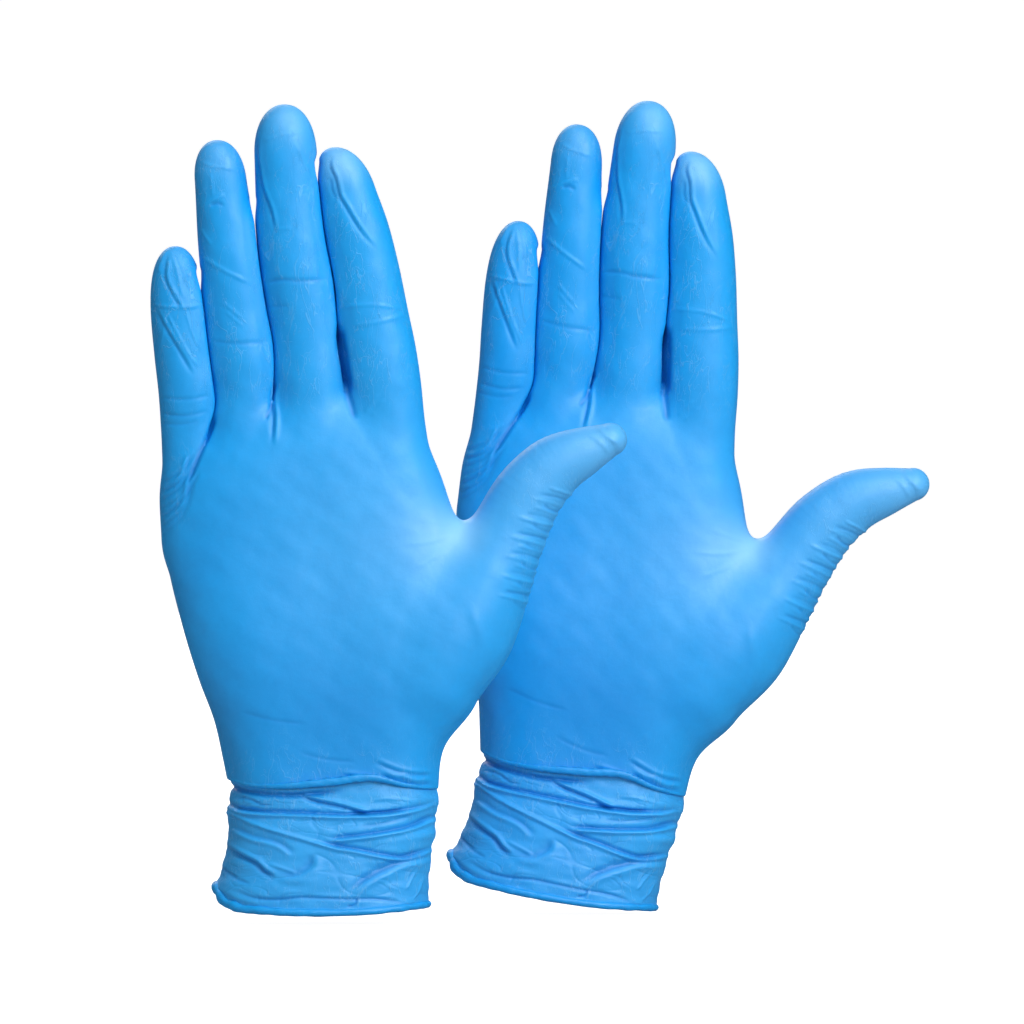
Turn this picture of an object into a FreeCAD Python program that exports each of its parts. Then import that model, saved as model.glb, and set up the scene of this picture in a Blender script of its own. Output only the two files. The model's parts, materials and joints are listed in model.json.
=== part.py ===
# A pair of thin disposable gloves, filled out as on a hand, fingers up, palms towards -Y.
# Millimetres. +X is the thumb side, +Z runs from the cuff to the fingertips, and the origin
# is the middle of the front glove's wrist opening. The rear glove is the same glove, turned
# and stood behind the front one. Each glove is one film of rubber, divided where it folds.
import math
import os

import FreeCAD
import Part

Vector = FreeCAD.Vector

# film and cuff
FILM = 0.5                # stand-in thickness of the film
BEAD_RADIUS = 1.1         # rolled rim of the wrist opening
BEAD_BULGE = (0.55, 1.0, 0.55)      # its half thickness at foot, middle and top, in radii
CUFF_TOP = 36.0           # where the cuff's gathers end and the palm begins
WRIST_HALF_WIDTH = 29.3
WRIST_HALF_DEPTH = 19.5

# a glove is a little flatter than it is round: all sections are drawn round and then
# flattened front to back by this ratio
DEPTH_RATIO = 0.88

# folds
HALF_GAP = 1.2            # half the height of a fold's band at the hinge line
BAND_CLEARANCE = 0.15     # between a fold's band and the film on each side of it
SPARE_ANGLE = 1.0         # degrees of clearance past a hinge's limit
ROOT_MARGIN = 0.6         # the palm is cleared this far beside a digit, past its root
REACH = 60.0              # larger than any digit's radius or segment
ROOM = 300.0              # larger than a whole glove

# palm: level, middle in x, half width, half depth, slope of the section in degrees
PALM_SECTIONS = (
    (CUFF_TOP, 3.0, 29.3, 19.5, 0.0),
    (60.0, 4.0, 36.0, 18.5, 0.0),
    (85.0, 0.5, 40.5, 17.0, 0.0),
    (110.0, -3.8, 40.7, 14.5, 0.0),
    (136.0, -8.8, 33.0, 10.0, 20.0),
)
SECTION_POINTS = 16
SECTION_SQUARENESS = 2.5  # 2 is an ellipse, more is squarer

# the ball of the thumb swells from the heel of the palm to the thumb's root
THENAR_START = (29.0, 66.0)
THENAR_START_RADIUS = 15.0
THUMB_ROOT = (50.5, 104.0)
THUMB_ROOT_RADIUS = 11.3
THUMB_BEND = (62.5, 122.5)
THUMB_BEND_RADIUS = 8.8
THUMB_END = (84.3, 132.3)
THUMB_END_RADIUS = 6.0

# fingers: foot and tip in x, z; radius at the foot and near the tip; levels of the root,
# middle and tip folds
FINGERS = {
    "little": ((-37.9, 118.0), (-41.2, 188.3), 7.3, 6.4, (140.0, 155.5, 169.5)),
    "ring": ((-20.3, 118.0), (-29.5, 218.0), 8.4, 6.9, (154.0, 172.0, 190.0)),
    "middle": ((-0.9, 118.0), (-11.2, 228.0), 9.2, 7.9, (158.0, 178.5, 200.0)),
    "index": ((22.8, 118.0), (4.9, 216.0), 9.3, 7.1, (157.5, 175.0, 191.0)),
}
ROOT_BACK, ROOT_FLEX = 10.0, 65.0
MIDDLE_BACK, MIDDLE_FLEX = 0.0, 85.0
TIP_BACK, TIP_FLEX = 0.0, 38.25
THUMB_ROOT_BACK, THUMB_ROOT_FLEX = 10.0, 45.0
THUMB_TIP_BACK, THUMB_TIP_FLEX = 5.0, 70.0

# where the rear glove stands: turned about Y, then moved
REAR_TURN = 9.9
REAR_MOVE = (63.8, 90.0, 1.4)

TOWARDS_PALM = Vector(0, -1, 0)


def at(point):
    """A point (x, z) of the glove's middle plane."""
    return Vector(point[0], 0, point[1])


def unit(vector):
    """The same direction, one long."""
    return Vector(vector).normalize()


def cone(start, end, start_radius, end_radius):
    """A round solid that tapers from start to end."""
    length = (end - start).Length
    return Part.makeCone(start_radius, end_radius, length, start, end - start)


def limb(points, radii):
    """A round limb through the points, with a ball at each of them."""
    solid = Part.makeSphere(radii[0], points[0])
    for i in range(len(points) - 1):
        solid = solid.fuse(cone(points[i], points[i + 1], radii[i], radii[i + 1]))
        solid = solid.fuse(Part.makeSphere(radii[i + 1], points[i + 1]))
    return solid


def section(level, middle, half_width, half_depth, slope):
    """A closed squarish curve around the hand, its thumb side raised by the slope."""
    lean = math.radians(slope)
    points = []
    for i in range(SECTION_POINTS):
        turn = 2 * math.pi * i / SECTION_POINTS
        c, s = math.cos(turn), math.sin(turn)
        across = half_width * math.copysign(abs(c) ** (2 / SECTION_SQUARENESS), c)
        front = half_depth * math.copysign(abs(s) ** (2 / SECTION_SQUARENESS), s)
        points.append(Vector(middle + across, front, level + across * math.tan(lean)))
    curve = Part.BSplineCurve()
    curve.interpolate(points, PeriodicFlag=True)
    return Part.Wire(curve.toShape())


def palm_block(inset):
    """The palm as a solid, its sections drawn in by the inset."""
    rings = []
    for i, (level, middle, half_width, half_depth, slope) in enumerate(PALM_SECTIONS):
        half_width -= inset
        half_depth -= inset / DEPTH_RATIO
        if i == 0:
            rings.append(section(level - 2 * inset, middle, half_width, half_depth, slope))
        elif i == len(PALM_SECTIONS) - 1:
            rings.append(section(level - inset, middle, half_width, half_depth, slope))
        else:
            rings.append(section(level, middle, half_width, half_depth, slope))
    return Part.makeLoft(rings, True, False)


class Hinge:
    """One fold across a digit: where it is, which way it closes and how far."""

    def __init__(self, place, along, closing, flex, back):
        self.place = place
        self.along = unit(along)
        self.closing = unit(closing)
        self.axis = unit(self.along.cross(self.closing))
        flatness = DEPTH_RATIO if abs(self.closing.y) > 0.5 else 1.0
        self.flex_slope = math.tan(math.radians(flex / 2 + SPARE_ANGLE)) * flatness
        self.back_slope = math.tan(math.radians(back / 2 + SPARE_ANGLE)) * flatness

    def edge(self, side, gap):
        """Three corners of the fold's lower (-1) or upper (+1) edge, from palm to back."""
        corners = []
        for out, slope in ((REACH, self.flex_slope), (0, 0), (-REACH, self.back_slope)):
            rise = side * (gap + abs(out) * slope)
            corners.append(self.place + self.closing * out + self.along * rise)
        return corners

    def prism(self, corners, half_width):
        """A solid with these corners in the plane of bending, both ways along the axis."""
        start = [c - self.axis * half_width for c in corners]
        face = Part.Face(Part.makePolygon(start + [start[0]]))
        return face.extrude(self.axis * (2 * half_width))

    def beyond(self, half_width=REACH):
        """Everything past the fold, towards the tip."""
        low = self.edge(1, HALF_GAP)
        return self._closed(low, 1, half_width)

    def past_lower_edge(self, half_width):
        """The fold's band and everything past it."""
        low = self.edge(-1, HALF_GAP)
        return self._closed(low, 1, half_width)

    def before(self, half_width=REACH):
        """Everything short of the fold, towards the palm."""
        low = self.edge(-1, HALF_GAP)
        return self._closed(low, -1, half_width)

    def band(self, half_width=REACH):
        """The fold's own band, clear of the film on both sides."""
        gap = HALF_GAP - BAND_CLEARANCE
        low = self.edge(-1, gap)
        high = self.edge(1, gap)
        return self.prism(low + high[::-1], half_width)

    def _closed(self, edge, side, half_width):
        """The region on one side of an edge."""
        far = self.along * (side * 3 * REACH)
        return self.prism(edge + [edge[2] + far, edge[0] + far], half_width)


class Digit:
    """A finger or the thumb: its limb, its shell and its folds."""

    def __init__(self, name, points, radii, root_radius, hinges, parts):
        self.name = name
        self.hinges = hinges
        self.parts = parts
        self.outer = limb(points, radii)
        self.inner = limb(points, [r - FILM for r in radii])
        self.shell = self.outer.cut(self.inner)
        self.root_width = root_radius + ROOT_MARGIN


def finger(name):
    """A straight tapered finger with three folds."""
    foot, tip, foot_radius, tip_radius, levels = FINGERS[name]
    start, end = at(foot), at(tip)
    along = unit(end - start)
    last = end - along * tip_radius
    limits = ((ROOT_FLEX, ROOT_BACK), (MIDDLE_FLEX, MIDDLE_BACK), (TIP_FLEX, TIP_BACK))
    hinges = []
    for level, (flex, back) in zip(levels, limits):
        place = start + along * ((level - foot[1]) / along.z)
        hinges.append(Hinge(place, along, TOWARDS_PALM, flex, back))
    parts = ("base", "middle", "tip")
    return Digit(name, [start, last], [foot_radius, tip_radius], foot_radius, hinges, parts)


def thumb():
    """The thumb, bent back at its end, with two folds."""
    start, root, bend, end = at(THENAR_START), at(THUMB_ROOT), at(THUMB_BEND), at(THUMB_END)
    root_along = unit(bend - root)
    bend_along = unit(unit(bend - root) + unit(end - bend))
    last = end - unit(end - bend) * THUMB_END_RADIUS
    towards_index = Vector(-bend_along.z, 0, bend_along.x)
    hinges = [
        Hinge(root, root_along, TOWARDS_PALM, THUMB_ROOT_FLEX, THUMB_ROOT_BACK),
        Hinge(bend, bend_along, towards_index, THUMB_TIP_FLEX, THUMB_TIP_BACK),
    ]
    points = [start, root, bend, last]
    radii = [THENAR_START_RADIUS, THUMB_ROOT_RADIUS, THUMB_BEND_RADIUS, THUMB_END_RADIUS]
    return Digit("thumb", points, radii, THUMB_ROOT_RADIUS, hinges, ("base", "tip"))


def largest_solid(shape):
    """The main solid of a shape, without slivers."""
    return max(shape.Solids, key=lambda s: s.Volume)


def digit_parts(digit):
    """The digit's stall segments and the folds between them, by name."""
    made = {}
    for i, part in enumerate(digit.parts):
        piece = digit.shell.common(digit.hinges[i].beyond())
        if i + 1 < len(digit.hinges):
            piece = piece.common(digit.hinges[i + 1].before())
            fold = digit.shell.common(digit.hinges[i + 1].band())
            made[f"{digit.name}_{digit.parts[i + 1]}_fold"] = largest_solid(fold)
        made[f"{digit.name}_{part}"] = largest_solid(piece)
    return made


def palm_shell(digits):
    """The palm's film, with a short stub for each digit and an open wrist."""
    outer = palm_block(0)
    inner = palm_block(FILM)
    for digit in digits:
        outer = outer.fuse(digit.outer)
        inner = inner.fuse(digit.inner)
    shell = outer.cut(inner)
    for digit in digits:
        shell = shell.cut(digit.hinges[0].past_lower_edge(digit.root_width))
    below_wrist = Part.makeBox(200, 200, 100, Vector(-100, -100, CUFF_TOP - 100))
    return largest_solid(shell.cut(below_wrist))


def front_half(shell):
    """The part of a shell on the palm's side of the glove's middle plane."""
    return largest_solid(shell.common(Part.makeBox(ROOM, ROOM, ROOM, Vector(-ROOM / 2, -ROOM, 0))))


def back_half(shell):
    """The part of a shell on the side of the back of the hand."""
    return largest_solid(shell.common(Part.makeBox(ROOM, ROOM, ROOM, Vector(-ROOM / 2, 0, 0))))


def cuff_shell():
    """The straight cuff between the bead and the palm."""
    low, high = 2 * BEAD_RADIUS, CUFF_TOP
    levels = (low, high)
    solids = []
    for inset in (0, FILM):
        rings = []
        for level in levels:
            middle = 3.0 * level / high
            half_depth = WRIST_HALF_DEPTH - inset / DEPTH_RATIO
            rings.append(section(level, middle, WRIST_HALF_WIDTH - inset, half_depth, 0))
        solids.append(Part.makeLoft(rings, True, False))
    return largest_solid(solids[0].cut(solids[1]))


def bead_ring():
    """The rolled rim: a bead around the wrist opening that bulges out and in at mid height."""
    solids = []
    for way in (1, -1):
        rings = []
        for step, bulge in enumerate(BEAD_BULGE):
            out = way * bulge * BEAD_RADIUS
            half_width = WRIST_HALF_WIDTH + out
            half_depth = WRIST_HALF_DEPTH + out / DEPTH_RATIO
            rings.append(section(step * BEAD_RADIUS, 0, half_width, half_depth, 0))
        solids.append(Part.makeLoft(rings, True, False))
    return largest_solid(solids[0].cut(solids[1]))


def root_folds(digits):
    """The five folds where the digits leave the palm."""
    return [largest_solid(d.shell.common(d.hinges[0].band())) for d in digits]


def flatten(shape):
    """A solid pressed front to back by the depth ratio."""
    press = FreeCAD.Matrix()
    press.A22 = DEPTH_RATIO
    return shape.transformGeometry(press)


def glove():
    """One glove's solids by name, at the front glove's place."""
    digits = [finger(name) for name in FINGERS] + [thumb()]
    hand = palm_shell(digits)
    made = {
        "bead": [bead_ring()],
        "cuff": [cuff_shell()],
        "palm": [front_half(hand)],
        "hand_back": [back_half(hand)],
        "root_folds": root_folds(digits),
    }
    for digit in digits:
        for name, solid in digit_parts(digit).items():
            made[name] = [solid]
    return {name: [flatten(s) for s in solids] for name, solids in made.items()}


def rear_place():
    """The move from the front glove's place to the rear one's."""
    return FreeCAD.Placement(Vector(*REAR_MOVE), FreeCAD.Rotation(Vector(0, 1, 0), REAR_TURN))


def moved(solid, place):
    """A copy of a solid, stood at the place."""
    copy = solid.copy()
    copy.Placement = place
    return copy


def export(name, solids):
    """Write one node's solids to its STEP file."""
    shape = solids[0] if len(solids) == 1 else Part.makeCompound(solids)
    shape.exportStep(f"parts/{name}.step")


os.makedirs("parts", exist_ok=True)
front = glove()
for node, solids in front.items():
    export(f"front_{node}", solids)
    export(f"rear_{node}", [moved(s, rear_place()) for s in solids])
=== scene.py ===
"""The looks of a pair of thin nitrile gloves, filled out as if worn.

All shapes are worked out in millimetres in the front glove's own frame: x towards the
thumb, y towards the back of the hand, z towards the fingertips, with the origin in the
middle of the wrist opening. The rear glove has the same shape and is placed by its own
wrist mount. The film above the wrist is one closed surface, meshed from distances, and
is divided at the finger folds into the palm's piece and one piece for each joint.
"""
import json
import math

import bpy
import numpy as np
from mathutils import Matrix, Vector


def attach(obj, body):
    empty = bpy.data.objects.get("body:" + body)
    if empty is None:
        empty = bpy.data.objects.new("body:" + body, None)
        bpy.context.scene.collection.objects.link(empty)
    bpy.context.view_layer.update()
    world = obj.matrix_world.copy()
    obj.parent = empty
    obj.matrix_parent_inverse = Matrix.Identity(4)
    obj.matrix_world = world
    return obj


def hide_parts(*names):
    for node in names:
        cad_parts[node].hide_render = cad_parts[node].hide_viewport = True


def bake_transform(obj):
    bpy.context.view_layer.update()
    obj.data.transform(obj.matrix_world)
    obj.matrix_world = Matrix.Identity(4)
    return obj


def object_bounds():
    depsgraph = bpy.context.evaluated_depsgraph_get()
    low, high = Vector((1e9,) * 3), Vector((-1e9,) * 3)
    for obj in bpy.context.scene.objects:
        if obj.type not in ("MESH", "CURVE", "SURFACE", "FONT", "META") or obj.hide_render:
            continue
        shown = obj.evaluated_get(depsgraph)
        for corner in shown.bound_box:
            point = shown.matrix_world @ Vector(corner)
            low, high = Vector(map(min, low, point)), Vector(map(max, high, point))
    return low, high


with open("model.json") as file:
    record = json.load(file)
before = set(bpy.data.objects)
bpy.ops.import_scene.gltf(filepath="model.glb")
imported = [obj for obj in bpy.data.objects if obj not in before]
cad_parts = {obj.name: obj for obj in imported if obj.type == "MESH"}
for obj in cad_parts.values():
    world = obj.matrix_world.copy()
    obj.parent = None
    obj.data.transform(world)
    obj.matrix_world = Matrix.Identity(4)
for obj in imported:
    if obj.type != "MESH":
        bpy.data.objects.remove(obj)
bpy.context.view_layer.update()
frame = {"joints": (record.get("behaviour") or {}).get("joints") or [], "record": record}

MM = 0.001
SIDES = ("front", "rear")

# ---------------------------------------------------------------- film above the wrist
CELL = 0.43      # mesh cell, mm
BLOCK = 6                               # cells along one block of the coarse search

# Outline of the palm: (level, edge) from the wrist fold to the finger roots
PALM_LEFT = (
    (36, -26.4), (44, -28), (55, -30.5), (66, -34.6), (83, -39.8), (100, -43.7), (112, -45), (150, -45.4),
)
PALM_RIGHT = (
    (36, 32.3), (44, 33), (56, 37), (70, 40.5), (90, 42), (104, 40), (112, 37), (122, 33.6), (134, 30.4),
    (150, 26.5),
)
PALM_DEPTH = ((36, 19.2), (60, 18), (85, 16.5), (110, 14.5), (128, 12.5), (150, 10))
PALM_TOP = ((-46, 138), (-33, 139), (-22, 142), (-13, 146.5), (7, 150), (17, 149), (28, 143))
PALM_TOP_ROUND = 24
PALM_POWER = 2.5

# The wrist fold: (x, level) of the palm film's lower edge, where it laps over the cuff
WRIST_FOLD = ((-27, 37.4), (-21, 35.8), (-13, 35.2), (3, 36.0), (15, 37.2), (22, 35.8), (33, 34.6))
WRIST_FOLD_ROUND = 1.6
WRIST_FOLD_TUCK = 1.9   # the film's end inside the cuff is left out this far in from its side
WRIST_FOLD_RISE = 3     # and this far up from its edge

FINGER_POWER = 2.15
FINGER_FOOT = 106
FINGER_FOOT_DOME = 10
FINGER_LEAN = 2.0       # how far a fingertip stands forward of its root
# Each finger: its top, the length of its domed end, and (level, middle, half width)
FINGERS = {
    "little": (187.9, 14.6, ((108, -37.2, 7.4), (137, -37.6, 7.8), (146, -37.4, 8.6), (157, -38.8, 8.4),
                             (171, -40.4, 7.9), (176, -40.9, 7.4), (188, -41.3, 7.3))),
    "ring": (217.6, 11.3, ((118, -20.5, 8.6), (137, -22.2, 9.5), (147, -21.8, 9.3), (156, -22.5, 9.9),
                           (171, -24.2, 9.3), (190, -26.6, 8.5), (206, -28.6, 7.3), (218, -29.6, 7.2))),
    "middle": (227.6, 14, ((118, -1, 9.2), (140, -3, 10.4), (150, -3.3, 10.8), (160, -4.1, 10.3),
                           (175, -6.3, 10.3), (193, -8.8, 9.6), (213, -10.4, 8.8), (228, -10.8, 8.7))),
    "index": (215.6, 11, ((118, 22.8, 9.3), (140, 17.8, 10.6), (150, 16.3, 11.1), (160, 15.0, 10.9),
                          (170, 13.4, 10.4), (184, 11.2, 9.7), (195, 8.9, 9.1), (205, 6.7, 7.7),
                          (216, 3.4, 7.6))),
}
FINGER_FLATNESS = {"little": 0.9, "ring": 0.88, "middle": 0.88, "index": 0.88}

# Neighbours that touch: web level, top of the contact, and (level, x) of the line between
SLITS = (
    ("little", "ring", 131.6, 181,
     ((131, -33.6), (137, -31.3), (143, -29.8), (150, -30.6), (163, -32.3), (180, -34.2))),
    ("ring", "middle", 145.5, 201,
     ((145, -13.6), (153, -13.2), (160, -13.6), (171, -15.7), (185, -17.8), (197, -18.9))),
    ("middle", "index", 149.3, 211.5,
     ((149, 7), (158, 5.2), (166, 4.2), (177, 3.4), (190, 0.9), (208, -1.2))),
)
SLIT_TILT = 0.13        # the contact faces lean, so that no light comes through between fingers
SLIT_WEB_TILT = 0.2     # and lean this much more at the web
SLIT_WEB_REACH = (2, 20)    # the extra lean fades out between these heights above the web
SLIT_FRONT = -7         # the lean leaves the line in place at this depth
SLIT_OPEN = 0.8         # half gap while meshing
SLIT_CLOSED = 0.12      # half gap of the finished film
SLIT_REACH = 3.0        # how far from the gap the film is eased together
SLIT_EASE_LOW = (-2, 1.5)   # the closing sets in between these heights above the web
SLIT_EASE_HIGH = 7      # and fades out over this height below the top
SLIT_TOP_SLOPE = 0.5    # above its top the gap no longer cuts the fingers
SLIT_ROUND = 0.6

# Thumb: (x, z, half width, half depth) along its middle
THUMB = (
    (31, 66, 13.2, 15.0), (38, 80, 15.6, 15.2), (45, 94, 13.6, 13.2), (51.7, 107.3, 10.9, 10.6),
    (58.3, 119.4, 9.7, 9.0), (65, 126.2, 8.7, 8.0), (73.4, 130.6, 6.8, 6.8), (80.4, 133.7, 4.7, 5.4),
)
THUMB_FROM = 10         # no thumb left of this x
FINGER_JOIN = 3.0
THUMB_JOIN = 7.0
FILM_LOW = (-50.0, -23.0, 31.0)     # the box that is meshed
FILM_HIGH = (89.0, 23.0, 231.0)


def curve(points, at):
    """A smooth value through given (place, value) points, level beyond the last ones."""
    place, value = np.array([q[:2] for q in points], float).T
    slope = np.gradient(value, place)
    at = np.clip(at, place[0], place[-1])
    i = np.clip(np.searchsorted(place, at) - 1, 0, len(place) - 2)
    span = place[i + 1] - place[i]
    t = (at - place[i]) / span
    start = value[i] * (1 + 2 * t) * (1 - t) ** 2 + slope[i] * span * t * (1 - t) ** 2
    end = value[i + 1] * t * t * (3 - 2 * t) - slope[i + 1] * span * t * t * (1 - t)
    return start + end


def ease(low, high, value):
    """0 below low, 1 above high and a smooth step between."""
    t = np.clip((value - low) / (high - low), 0, 1)
    return t * t * (3 - 2 * t)


def soft_min(a, b, reach):
    """The smaller of two distances, rounded where they meet."""
    near = np.maximum(reach - np.abs(a - b), 0)
    return np.minimum(a, b) - near * near / (4 * reach)


def soft_max(a, b, reach):
    return -soft_min(-a, -b, reach)


def rounded_distance(offsets, halves, power):
    """Signed distance from an ellipsoid-like form with these half sizes, close to the surface."""
    share = [np.abs(o) / h for o, h in zip(offsets, halves)]
    total = np.maximum(sum(s ** power for s in share), 1e-9)
    size = total ** (1 / power)
    steepness = np.sqrt(sum((s ** (power - 1) / h) ** 2 for s, h in zip(share, halves)))
    return (size - 1) / np.maximum(steepness * size ** (1 - power), 1e-6)


def palm_section(p):
    """Offsets from the palm's middle line and its half sizes at each point's level."""
    left, right = curve(PALM_LEFT, p[:, 2]), curve(PALM_RIGHT, p[:, 2])
    return (p[:, 0] - (left + right) / 2, p[:, 1]), ((right - left) / 2, curve(PALM_DEPTH, p[:, 2]))


def palm_distance(p):
    offsets, halves = palm_section(p)
    over = np.maximum(p[:, 2] - curve(PALM_TOP, p[:, 0]) + PALM_TOP_ROUND, 0)
    under = np.minimum(p[:, 2] - curve(WRIST_FOLD, p[:, 0]) - WRIST_FOLD_ROUND, 0)
    round_size = np.where(over > 0, PALM_TOP_ROUND, WRIST_FOLD_ROUND)
    return rounded_distance(offsets + (over + under,), halves + (round_size,), PALM_POWER)


def finger_distance(name, p):
    top, dome, line = FINGERS[name]
    x, y, z = p.T
    half = curve([(q[0], q[2]) for q in line], z)
    lean = -FINGER_LEAN * ease(FINGER_FOOT, top, z)
    over = np.maximum(z - top + dome, 0)
    under = np.minimum(z - FINGER_FOOT, 0)
    halves = (half, half * FINGER_FLATNESS[name], np.where(over > 0, dome, FINGER_FOOT_DOME))
    return rounded_distance((x - curve(line, z), y - lean, over + under), halves, FINGER_POWER)


def smooth_line(points, steps=6):
    """Given points joined by a smooth curve, as a denser row of points."""
    points = np.array(points, float)
    way = np.concatenate([[0], np.cumsum(np.linalg.norm(np.diff(points[:, :2], axis=0), axis=1))])
    at = np.interp(np.linspace(0, len(way) - 1, (len(way) - 1) * steps + 1), np.arange(len(way)), way)
    return np.stack([curve(list(zip(way, column)), at) for column in points.T], 1)


def nearest_on_line(line, x, z):
    """Distance to a row of points in the x-z plane, signed to its left, and the place along it."""
    best = np.full(len(x), 1e9)
    place = np.zeros(len(x))
    left = np.ones(len(x))
    for i in range(len(line) - 1):
        a, d = line[i, :2], line[i + 1, :2] - line[i, :2]
        dx, dz = x - a[0], z - a[1]
        t = np.clip((dx * d[0] + dz * d[1]) / (d @ d), 0, 1)
        away = (dx - t * d[0]) ** 2 + (dz - t * d[1]) ** 2
        closer = away < best
        best = np.where(closer, away, best)
        place = np.where(closer, i + t, place)
        left = np.where(closer, np.sign(d[0] * dz - d[1] * dx), left)
    return np.sqrt(best), left, place


THUMB_LINE = smooth_line(THUMB)


def thumb_distance(p):
    away = np.full(len(p), 50.0)
    near = p[:, 0] > THUMB_FROM
    x, y, z = p[near].T
    off, _, place = nearest_on_line(THUMB_LINE, x, z)
    half, depth = (np.interp(place, np.arange(len(THUMB_LINE)), THUMB_LINE[:, k]) for k in (2, 3))
    away[near] = rounded_distance((off, y), (half, depth), 2)
    return away


def right_of_slit(slit, p):
    """How far each point is to the right of the leaning plane between two fingers."""
    _, _, web, _, line = slit
    near, far = SLIT_WEB_REACH
    tilt = SLIT_TILT + SLIT_WEB_TILT * (1 - ease(web + near, web + far, p[:, 2]))
    return p[:, 0] - curve(line, p[:, 2]) + tilt * (p[:, 1] - SLIT_FRONT)


def film_distance(p):
    """Signed distance from the outer face of the film above the wrist."""
    fingers = {name: finger_distance(name, p) for name in FINGERS}
    for slit in SLITS:
        left, right, _, top, _ = slit
        across = right_of_slit(slit, p)
        room = SLIT_OPEN - SLIT_TOP_SLOPE * np.maximum(p[:, 2] - top, 0)
        fingers[left] = soft_max(fingers[left], across + room, SLIT_ROUND)
        fingers[right] = soft_max(fingers[right], room - across, SLIT_ROUND)
    apart = np.minimum.reduce(list(fingers.values()))
    hand = soft_min(palm_distance(p), thumb_distance(p), THUMB_JOIN)
    return soft_min(hand, apart, FINGER_JOIN)


def distance_grid(low, high):
    """film_distance on a grid: worked out near the surface, and only by blocks elsewhere."""
    blocks = np.ceil((high - low) / (CELL * BLOCK)).astype(int)
    step = CELL * BLOCK
    centres = np.stack(np.meshgrid(*[(np.arange(n) + 0.5) * step for n in blocks], indexing="ij"), -1) + low
    coarse = film_distance(centres.reshape(-1, 3)).reshape(blocks)
    near = np.argwhere(np.abs(coarse) < step * 1.4)
    grid = np.repeat(np.repeat(np.repeat(coarse, BLOCK, 0), BLOCK, 1), BLOCK, 2).astype(np.float32)
    inner = np.stack(np.meshgrid(*[np.arange(BLOCK)] * 3, indexing="ij"), -1).reshape(1, -1, 3)
    places = (near[:, None] * BLOCK + inner).reshape(-1, 3)
    grid[tuple(places.T)] = film_distance(low + places * CELL)
    return grid


def surface_from_grid(grid, low):
    """One point in each cell that the surface crosses, and a four-sided face round each crossed edge."""
    corners = [np.array(c) for c in np.ndindex(2, 2, 2)]
    size = np.array(grid.shape) - 1
    at = [grid[tuple(slice(c[k], c[k] + size[k]) for k in range(3))] for c in corners]
    count = sum((a < 0).astype(np.int8) for a in at)
    crossed = (count > 0) & (count < 8)
    number = np.full(grid.shape, -1)
    cells = np.argwhere(crossed)
    number[:size[0], :size[1], :size[2]][crossed] = np.arange(len(cells))
    values = [a[crossed] for a in at]
    total, hits = np.zeros((len(cells), 3)), np.zeros(len(cells))
    for i, a in enumerate(corners):
        for j, b in enumerate(corners):
            if j > i and np.abs(a - b).sum() == 1:
                cut = (values[i] < 0) != (values[j] < 0)
                t = np.where(cut, values[i] / np.where(cut, values[i] - values[j], 1), 0)
                total += np.where(cut[:, None], a + t[:, None] * (b - a), 0)
                hits += cut
    points = low + (cells + total / hits[:, None]) * CELL
    faces = []
    for axis in range(3):
        one, two = (axis + 1) % 3, (axis + 2) % 3
        ahead = np.roll(grid, -1, axis)
        edge = (grid < 0) != (ahead < 0)
        edge[tuple(slice(-1, None) if k == axis else slice(None) for k in range(3))] = False
        where = np.argwhere(edge)
        where = where[(where[:, one] > 0) & (where[:, two] > 0)]
        out = grid[tuple(where.T)] < 0
        back_one, back_two = np.eye(3, dtype=int)[one], np.eye(3, dtype=int)[two]
        ring = [where - back_one - back_two, where - back_two, where, where - back_one]
        quad = np.stack([number[tuple(r.T)] for r in ring], 1)
        quad[~out] = quad[~out][:, ::-1]
        faces.append(quad[(quad >= 0).all(1)])
    return points, np.concatenate(faces)


def neighbour_mean(points, faces):
    """The mean of the points that each point shares an edge with."""
    ends = np.concatenate([faces[:, [k, (k + 1) % 4]] for k in range(4)])
    ends = np.concatenate([ends, ends[:, ::-1]])
    count = np.bincount(ends[:, 0], minlength=len(points))
    sums = [np.bincount(ends[:, 0], points[ends[:, 1], k], len(points)) for k in range(3)]
    return np.stack(sums, 1) / np.maximum(count, 1)[:, None]


def point_normals(points, faces):
    """Outward directions at the points, weighted by the area of the faces round them."""
    across = np.cross(points[faces[:, 2]] - points[faces[:, 0]], points[faces[:, 3]] - points[faces[:, 1]])
    sums = [sum(np.bincount(faces[:, k], across[:, c], len(points)) for k in range(4)) for c in range(3)]
    normals = np.stack(sums, 1)
    return normals / np.maximum(np.linalg.norm(normals, axis=1), 1e-12)[:, None]


def settle(points, faces, rounds=3):
    """Evens out the mesh and puts its points back on the surface."""
    tiny = 0.05
    for _ in range(rounds):
        points = points + 0.5 * (neighbour_mean(points, faces) - points)
        here = film_distance(points)
        slope = np.stack([film_distance(points + tiny * e) - here for e in np.eye(3)], 1) / tiny
        step = here / np.maximum((slope ** 2).sum(1), 0.2)
        points = points - np.clip(step, -CELL, CELL)[:, None] * slope
    return points


def close_slits(points):
    """Eases neighbouring fingers together until only the finished gap is left."""
    points = points.copy()
    for slit in SLITS:
        _, _, web, top, _ = slit
        across = right_of_slit(slit, points)
        size = np.abs(across)
        narrow = SLIT_OPEN - SLIT_CLOSED
        beyond = size - narrow * (SLIT_REACH - size) / (SLIT_REACH - SLIT_OPEN)
        closer = np.where(size < SLIT_REACH, beyond, size)
        closer = np.where(size < SLIT_OPEN, size * SLIT_CLOSED / SLIT_OPEN, closer)
        low, high = SLIT_EASE_LOW
        strength = ease(web + low, web + high, points[:, 2])
        strength *= 1 - ease(top - SLIT_EASE_HIGH, top, points[:, 2])
        points[:, 0] += np.sign(across) * (closer - size) * strength
    return points


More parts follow.
